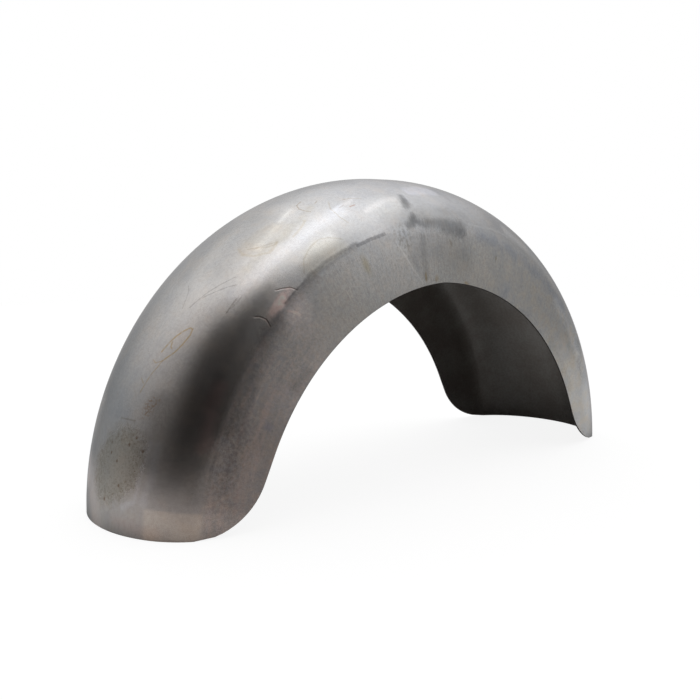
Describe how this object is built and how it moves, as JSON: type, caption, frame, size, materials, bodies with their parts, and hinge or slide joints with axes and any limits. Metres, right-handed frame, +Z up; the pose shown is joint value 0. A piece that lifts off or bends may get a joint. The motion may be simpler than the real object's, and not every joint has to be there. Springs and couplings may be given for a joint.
{
  "type": "motorcycle rear fender",
  "caption": "Raw steel motorcycle rear fender: a crowned half-round shell with rolled shoulders, creased leaning skirts and a peaked wheel arch.",
  "frame": {"origin": "middle of the bounding box, on the level of the two cut ends that the fender stands on", "axes": "+X fore and aft along the wheel, +Y across the wheel, +Z up; the wheel's axle lies along Y, 8 mm below the origin"},
  "size_m": [0.7128, 0.231, 0.34],
  "materials": {
    "raw_steel": "raw pressed sheet, brushed and ground, with heat tint, stains and light scratches"
  },
  "bodies": {
    "root": {"rear_fender": "raw_steel"}
  },
  "joints": []
}
